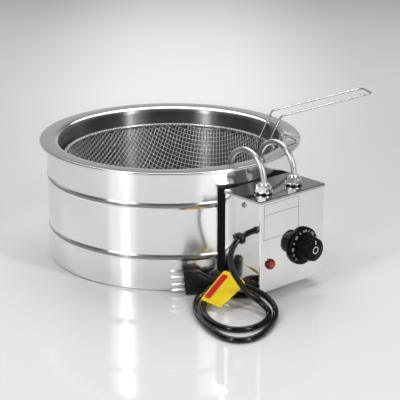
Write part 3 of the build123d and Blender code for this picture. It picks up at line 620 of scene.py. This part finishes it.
def build_cord():
    """One smooth spline with the route's points as its control points."""
    curve = bpy.data.curves.new("mains_cord", "CURVE")
    curve.dimensions = "3D"
    curve.bevel_depth = cord_d / 2
    curve.bevel_resolution = 8
    curve.use_fill_caps = True
    spline = curve.splines.new("NURBS")
    spline.points.add(len(cord_route) - 1)
    for spot, point in zip(spline.points, cord_route):
        spot.co = (*point, 1)
    spline.order_u = 3
    spline.use_endpoint_u = True
    spline.resolution_u = 6
    cord = add_piece("mains_cord", curve, rubber, "base", "black_rubber", "power_cord")


ridge_count = 4
ridge_sides = 32
ridge_wire = 1.3 * mm
ridge_proud = 0.8 * mm


def build_plug_ridges():
    """Rings moulded round the plug's boot."""
    ahead = (cord_route[-1] - cord_route[-2]).normalized()
    rings = []
    for step in range(1, ridge_count + 1):
        share = step / (ridge_count + 1)
        r = cord_d / 2 + ridge_proud + (plug_neck_d - cord_d - 2 * ridge_proud) / 2 * share
        middle = cord_route[-1] + ahead * plug_boot_long * share
        rings.append([
            ring_point(middle, ahead, r, 2 * pi * spot / ridge_sides) for spot in range(ridge_sides)])
    curve = new_curve("plug_ridges", ridge_wire, rings, 2, cyclic=True)
    add_piece("plug_ridges", curve, moulded, "base", "black_plastic")


# Paper tag: a curled sheet on a loop round the cord
tag_at = cord_foot + Vector((-60.5, 50.2, 9.8)) * mm
tag_along = Vector((cos(tag_tilt), 0, sin(tag_tilt)))
tag_up = Vector((-sin(tag_tilt), 0, cos(tag_tilt)))
curl_from = 20 * mm
curl_back = 3 * mm
curl_drop = 7 * mm
corner_steps = 8
long_steps = 20
wide_steps = 24
strap_steps = 48
band_long = 42 * mm
band_wide = 11 * mm
band_round = 3 * mm
band_from = (5 * mm, 2.5 * mm)
band_sunk = 0.1 * mm


def tag_point(s, t, lift):
    """A point of the tag, s along its long side and t across it, with its near side curled down."""
    curl = max(0, (t - curl_from) / (tag_wide - curl_from)) ** 2
    far = s / tag_long
    across = Vector((0, -t + curl_back * curl * (1 - far), -curl_drop * curl * far))
    return tag_at + tag_along * s + across + tag_up * lift


def sheet_rows(long, wide, corner, low_s, low_t, lift):
    """Rows of points over a rounded rectangle of the tag."""
    ends = [corner * (1 - cos(pi / 2 * step / corner_steps)) for step in range(corner_steps + 1)]
    spots = ends + [corner + (long - 2 * corner) * step / long_steps for step in range(1, long_steps)]
    spots += [long - s for s in ends[::-1]]
    rows = []
    for s in spots:
        out = max(corner - s, s - long + corner, 0)
        inset = corner - sqrt(max(corner ** 2 - out ** 2, 0))
        rows.append([
            tag_point(low_s + s, low_t + inset + (wide - 2 * inset) * step / wide_steps, lift)
            for step in range(wide_steps + 1)])
    return rows


def closed_sheet(lower, upper):
    """Points and faces of a thin sheet between two grids."""
    tall, wide = len(lower), len(lower[0])
    points = [point for row in lower + upper for point in row]
    size = tall * wide
    faces = []
    for row in range(tall - 1):
        for spot in range(wide - 1):
            a = row * wide + spot
            faces.append((a, a + wide, a + wide + 1, a + 1))
            faces.append((size + a, size + a + 1, size + a + wide + 1, size + a + wide))
    edge = list(range(wide))
    edge += [row * wide + wide - 1 for row in range(1, tall)]
    edge += [(tall - 1) * wide + spot for spot in range(wide - 2, -1, -1)]
    edge += [row * wide for row in range(tall - 2, 0, -1)]
    faces += [(a, b, size + b, size + a) for a, b in zip(edge, edge[1:] + edge[:1])]
    return points, faces


def tag_loop():
    """The tag's strap, a flat band round the cord."""
    nearest = min(range(1, len(cord_route) - 1), key=lambda step: (cord_route[step] - tag_at).length)
    ahead = (cord_route[nearest + 1] - cord_route[nearest - 1]).normalized()
    inner_r = cord_d / 2 + tag_strap_gap
    grids = [
        [[ring_point(
            cord_route[nearest] + ahead * share * tag_strap_wide, ahead, r, 2 * pi * turn / strap_steps)
          for share in (-0.5, 0, 0.5)] for turn in range(strap_steps + 1)]
        for r in (inner_r, inner_r + tag_thick)]
    return closed_sheet(*grids)


def build_tag():
    """Sheet, strap and the red band near the sheet's upper edge."""
    points, faces = closed_sheet(
        *[sheet_rows(tag_long, tag_wide, tag_round, 0, 0, lift) for lift in (0, tag_thick)])
    strap_points, strap_faces = tag_loop()
    faces += [tuple(spot + len(points) for spot in face) for face in strap_faces]
    add_mesh("paper_tag", points + strap_points, faces, paper, "base", "tag_paper", "cord_tag")
    band = [
        sheet_rows(band_long, band_wide, band_round, *band_from, tag_thick + lift)
        for lift in (-band_sunk, print_proud)]
    add_mesh("tag_band", *closed_sheet(*band), band_ink, "base", "tag_paper")


# Dial: plain numbers, ticks, and a ring and mark on the cap
knob_x = (knob_low.x + knob_high.x) / 2
knob_z = (knob_low.z + knob_high.z) / 2
dial_numbers = ("0", "50", "80", "110", "140", "170", "200")
dial_start = 225
dial_step = 45
dial_r = 21.6 * mm
digit_tall = 5.0 * mm
digit_thick = 0.05 * mm
tick_from = 20 * mm
tick_to = 23.5 * mm
tick_wide = 0.8 * mm
cap_ring = (4.0 * mm, 5.1 * mm)
cap_steps = 32
cap_mark = ((-0.7 * mm, 0.7 * mm), (8 * mm, 13.5 * mm))


def flat_plate(form, outline):
    """A thin plate from the points of its front's outline."""
    front = [form.verts.new(point) for point in outline]
    back = [form.verts.new(Vector(point) + Vector((0, print_thick, 0))) for point in outline]
    form.faces.new(front)
    form.faces.new(back[::-1])
    for a, b, c, d in zip(front, front[1:] + front[:1], back[1:] + back[:1], back):
        form.faces.new((b, a, d, c))


def add_form(name, form, material, body, slot):
    """A piece from a finished form."""
    mesh = bpy.data.meshes.new(name)
    form.to_mesh(mesh)
    form.free()
    add_piece(name, mesh, material, body, slot)


def dial_ways(degrees):
    """Outward and clockwise on the dial at an angle from +X."""
    angle = radians(degrees)
    return Vector((cos(angle), 0, sin(angle))), Vector((sin(angle), 0, -cos(angle)))


def add_number(form, number, middle, out, right):
    """One flat number on the skirt, upright toward the rim."""
    text = bpy.data.curves.new("digits", "FONT")
    text.body = number
    text.size = digit_tall
    text.align_x = "CENTER"
    text.align_y = "CENTER"
    text.extrude = digit_thick
    holder = bpy.data.objects.new("digits", text)
    digits = bpy.data.meshes.new_from_object(holder)
    place = Matrix((right, out, (0, -1, 0))).transposed().to_4x4()
    place.translation = middle + out * dial_r
    digits.transform(place)
    form.from_mesh(digits)
    bpy.data.objects.remove(holder)
    bpy.data.curves.remove(text)
    bpy.data.meshes.remove(digits)


def build_dial():
    """Numbers round the skirt, ticks between them, and the cap's ring and mark."""
    form = bmesh.new()
    middle = Vector((knob_x, panel_y - knob_skirt_proud - print_proud, knob_z))
    half = tick_wide / 2
    for step, number in enumerate(dial_numbers):
        degrees = dial_start - dial_step * step
        add_number(form, number, middle, *dial_ways(degrees))
        if step < len(dial_numbers) - 1:
            out, right = dial_ways(degrees - dial_step / 2)
            corners = ((tick_from, -half), (tick_to, -half), (tick_to, half), (tick_from, half))
            flat_plate(form, [middle + out * r + right * side for r, side in corners])
    middle = Vector((knob_x, panel_y - knob_proud - print_proud, knob_z))
    inner, outer = cap_ring
    for step in range(cap_steps):
        flat_plate(form, [
            middle + r * dial_ways(360 * (step + k) / cap_steps)[0]
            for r, k in ((inner, 0), (inner, 1), (outer, 1), (outer, 0))])
    (left, right), (low, high) = cap_mark
    flat_plate(form, [
        middle + Vector((x, 0, z)) for x, z in ((left, low), (right, low), (right, high), (left, high))])
    add_form("dial_marks", form, dial_paint, "knob", "black_plastic")


# Panel: the printed frame on the box's front, left bare
panel_left = -54 * mm
panel_right = 11.4 * mm
panel_low = 90 * mm
panel_high = 139.5 * mm
panel_head = 15 * mm
panel_line = 0.55 * mm


def build_panel():
    """Four sides and a line under the head."""
    form = bmesh.new()
    print_y = panel_y - print_proud
    bars = [(panel_left, panel_right, low, low + panel_line)
            for low in (panel_high - panel_line, panel_low, panel_high - panel_head)]
    bars += [(left, left + panel_line, panel_low, panel_high)
             for left in (panel_left, panel_right - panel_line)]
    for x0, x1, z0, z1 in bars:
        flat_plate(form, [(x0, print_y, z0), (x1, print_y, z0), (x1, print_y, z1), (x0, print_y, z1)])
    add_form("panel_frame", form, print_ink, "base", "polished_steel")


build_plug_ridges()
build_tag()
build_dial()
build_panel()
build_cord()

# Floor, light and camera
view_right = (0.744, -0.668, 0)
view_ahead = (0.668, 0.744, 0)
floor_half = 9.0
floor_painted_reflection_levels = (0.79, 0.98)
floor_painted_reflection_span = (-0.4, 1.8)
floor_painted_side_shade = 0.30
floor_side_span = (0.05, 0.45)
floor_behind_span = (-0.5, 0.9)
floor_satin = 0.5
floor_satin_span = (0.5, 1.0)
room_tone = (0.10, 0.10, 0.10, 1)
backdrop_tone = (0.66, 0.66, 0.66, 1)
backdrop_span = (-0.1, 0.6)
backdrop_top = 0.63
camera_at = Vector((-1.2834, -1.4942, 0.7255))
camera_to = Vector((0.0324, -0.0291, 0.0734))
camera_data = bpy.data.cameras.new("camera")
camera_data.lens = 126.0
camera_data.sensor_width = 36.0
camera_data.clip_end = 50.0
camera = bpy.data.objects.new("camera", camera_data)
camera.location = camera_at
camera.rotation_euler = (camera_to - camera_at).to_track_quat("-Z", "Y").to_euler()
bpy.context.scene.collection.objects.link(camera)
bpy.context.scene.camera = camera
bpy.context.scene.view_settings.view_transform = "Standard"


def build_floor():
    """A pale studio floor with painted shade behind the object to its sides and a painted reflection
    brightening it toward the back, glossy near it and satin far out.
    """
    corners = [(x * floor_half, y * floor_half, 0) for x, y in ((-1, -1), (1, -1), (1, 1), (-1, 1))]
    mesh = bpy.data.meshes.new("floor")
    mesh.from_pydata(corners, [], [(0, 1, 2, 3)])
    material = add_grain(new_material("floor", (0.82, 0.82, 0.82)), 300 * mm, rough=(0.04, 0.07))
    tree = material.node_tree
    shader = tree.nodes["Principled BSDF"]
    place = tree.nodes.new("ShaderNodeTexCoord").outputs["Object"]
    across, along = [
        vector_step(tree, "DOT_PRODUCT", place, way, "Value") for way in (view_right, view_ahead)]
    # Painted shade to the sides behind the object.
    aside = combine(tree, "ABSOLUTE", across, 0.0)
    aside = ramp_over(tree, aside, *floor_side_span, 0.0, floor_painted_side_shade)
    behind = ramp_over(tree, along, *floor_behind_span, 0.0, 1.0)
    shade_of = combine(tree, "SUBTRACT", 1.0, combine(tree, "MULTIPLY", aside, behind))
    # Painted reflection: the base colour brightens toward the back, where the floor turns satin.
    level = ramp_over(tree, along, *floor_painted_reflection_span, *floor_painted_reflection_levels)
    tree.links.new(combine(tree, "MULTIPLY", shade_of, level), shader.inputs["Base Color"])
    satin = ramp_over(tree, length_of(tree, place), *floor_satin_span, 0.0, floor_satin)
    gloss = shader.inputs["Roughness"]
    tree.links.new(combine(tree, "ADD", gloss.links[0].from_socket, satin), gloss)
    mesh.materials.append(material)
    floor = bpy.data.objects.new("floor", mesh)
    bpy.context.scene.collection.objects.link(floor)


def add_softbox(name, place, target, wide, tall, glow):
    """An area light whose face has the given brightness."""
    data = bpy.data.lights.new(name, "AREA")
    data.shape = "RECTANGLE"
    data.size = wide
    data.size_y = tall
    data.energy = glow * pi * wide * tall
    light = bpy.data.objects.new(name, data)
    light.location = place
    light.rotation_euler = (Vector(target) - Vector(place)).to_track_quat("-Z", "Y").to_euler()
    bpy.context.scene.collection.objects.link(light)


def build_world():
    """A dark room with a pale backdrop behind the object, low down."""
    world = bpy.data.worlds.new("studio")
    world.use_nodes = True
    tree = world.node_tree
    way = tree.nodes.new("ShaderNodeTexCoord").outputs["Generated"]
    ahead = vector_step(tree, "DOT_PRODUCT", way, view_ahead, "Value")
    axes = tree.nodes.new("ShaderNodeSeparateXYZ")
    tree.links.new(way, axes.inputs["Vector"])
    behind = ramp_over(tree, ahead, *backdrop_span, 0.0, 1.0)
    low = ramp_over(tree, axes.outputs["Z"], 0.0, backdrop_top, 1.0, 0.0)
    tone = tree.nodes.new("ShaderNodeMix")
    tone.data_type = "RGBA"
    tone.inputs["A"].default_value = room_tone
    tone.inputs["B"].default_value = backdrop_tone
    tree.links.new(combine(tree, "MULTIPLY", behind, low), tone.inputs["Factor"])
    tree.links.new(tone.outputs["Result"], tree.nodes["Background"].inputs["Color"])
    bpy.context.scene.world = world


build_floor()
build_world()
add_softbox("top_box", (0.6, 0.7, 2.0), (0, 0, 0), 2.2, 2.2, 2.5)
add_softbox("side_box", (-1.69, -0.19, 0.5), (0, 0, 0.3), 0.75, 1.0, 1.3)
add_softbox("front_box", (-0.05, -1.75, 0.5), (0, 0, 0.3), 0.9, 1.0, 1.4)
add_softbox("left_strip", (-2.1, -0.3, 1.45), (0, 0, 0.1), 0.18, 1.6, 25.0)
add_softbox("right_strip", (0.23, -2.1, 1.45), (0, 0, 0.1), 0.18, 1.6, 25.0)
